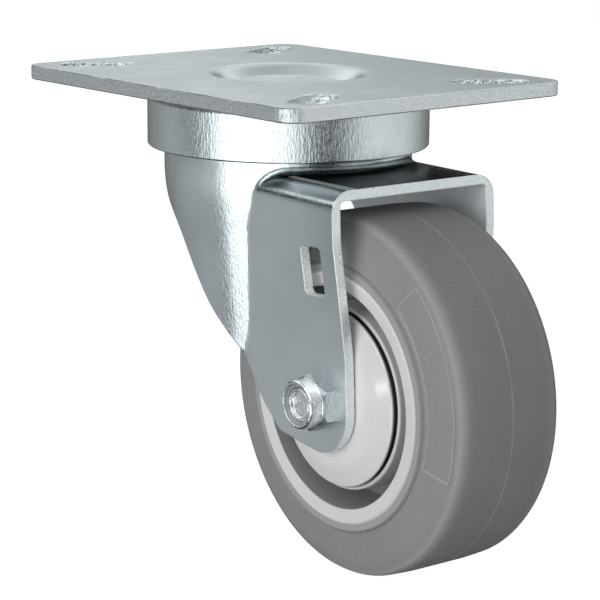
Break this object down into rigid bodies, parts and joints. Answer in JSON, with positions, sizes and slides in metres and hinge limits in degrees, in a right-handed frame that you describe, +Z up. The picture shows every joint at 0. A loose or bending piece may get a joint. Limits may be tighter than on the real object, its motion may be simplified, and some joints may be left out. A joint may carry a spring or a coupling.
{
  "type": "swivel castor",
  "caption": "Bolt-on swivel castor: slotted top plate, double ball race swivel, drawn sheet fork and a rubber-tyred wheel on ball bearings.",
  "frame": {"origin": "centre of the top plate's upper face, on the swivel axis", "axes": "+Z up, out of the mounting face, along the swivel axis; +X along the plate's length, the way that the wheel trails at rest; +Y along the plate's width, from the lock nut to the bolt head"},
  "size_m": [0.1617, 0.101, 0.1338],
  "materials": {
    "zinc_plate": "zinc plated",
    "zinc_housing": "zinc plated",
    "zinc_fork": "zinc plated",
    "fastener_zinc": "bright zinc",
    "bright_steel": "turned",
    "bearing_steel": "ground",
    "ball_steel": "polished",
    "nylon": "nylon",
    "core_plastic": "moulded",
    "guard_plastic": "moulded gloss",
    "tread_rubber": "moulded grey rubber"
  },
  "bodies": {
    "plate": {"top_plate": "zinc_plate", "race_housing": "zinc_housing", "kingpin": "bright_steel", "lower_race": "bright_steel", "kingpin_washer": "bright_steel", "kingpin_nut": "bright_steel"},
    "upper_ball_ring": {"upper_balls": "ball_steel"},
    "lower_ball_ring": {"lower_balls": "ball_steel"},
    "fork": {"fork": "zinc_fork", "axle_bolt": "fastener_zinc", "lock_nut": "fastener_zinc", "nut_insert": "nylon", "axle_sleeve": "bright_steel", "bearing_spacer": "bright_steel", "inner_ring_near": "bearing_steel", "inner_ring_far": "bearing_steel", "thread_guard_near": "guard_plastic", "thread_guard_far": "guard_plastic"},
    "wheel": {"wheel_core": "core_plastic", "tread": "tread_rubber", "outer_ring_near": "bearing_steel", "outer_ring_far": "bearing_steel"},
    "bearing_ball_rings": {"bearing_balls_near": "ball_steel", "bearing_balls_far": "ball_steel"}
  },
  "joints": [
    {"name": "swivel", "type": "hinge", "parent": "plate", "child": "fork", "pos_m": [0, 0, -0.0241], "axis": [0, 0, 1], "continuous": true},
    {"name": "wheel_spin", "type": "hinge", "parent": "fork", "child": "wheel", "pos_m": [0.04863, -0.00255, -0.0831], "axis": [0.0523, 0.9986, 0], "continuous": true},
    {"name": "upper_ball_roll", "type": "hinge", "parent": "plate", "child": "upper_ball_ring", "pos_m": [0, 0, -0.0101], "axis": [0, 0, 1], "continuous": true},
    {"name": "lower_ball_roll", "type": "hinge", "parent": "plate", "child": "lower_ball_ring", "pos_m": [0, 0, -0.0185], "axis": [0, 0, 1], "continuous": true},
    {"name": "bearing_ball_roll", "type": "hinge", "parent": "fork", "child": "bearing_ball_rings", "pos_m": [0.04863, -0.00255, -0.0831], "axis": [0.0523, 0.9986, 0], "continuous": true}
  ],
  "couplings": [
    {"joint": "upper_ball_roll", "follows": "swivel", "ratio": 0.5},
    {"joint": "lower_ball_roll", "follows": "swivel", "ratio": 0.5},
    {"joint": "bearing_ball_roll", "follows": "wheel_spin", "ratio": 0.6312}
  ]
}
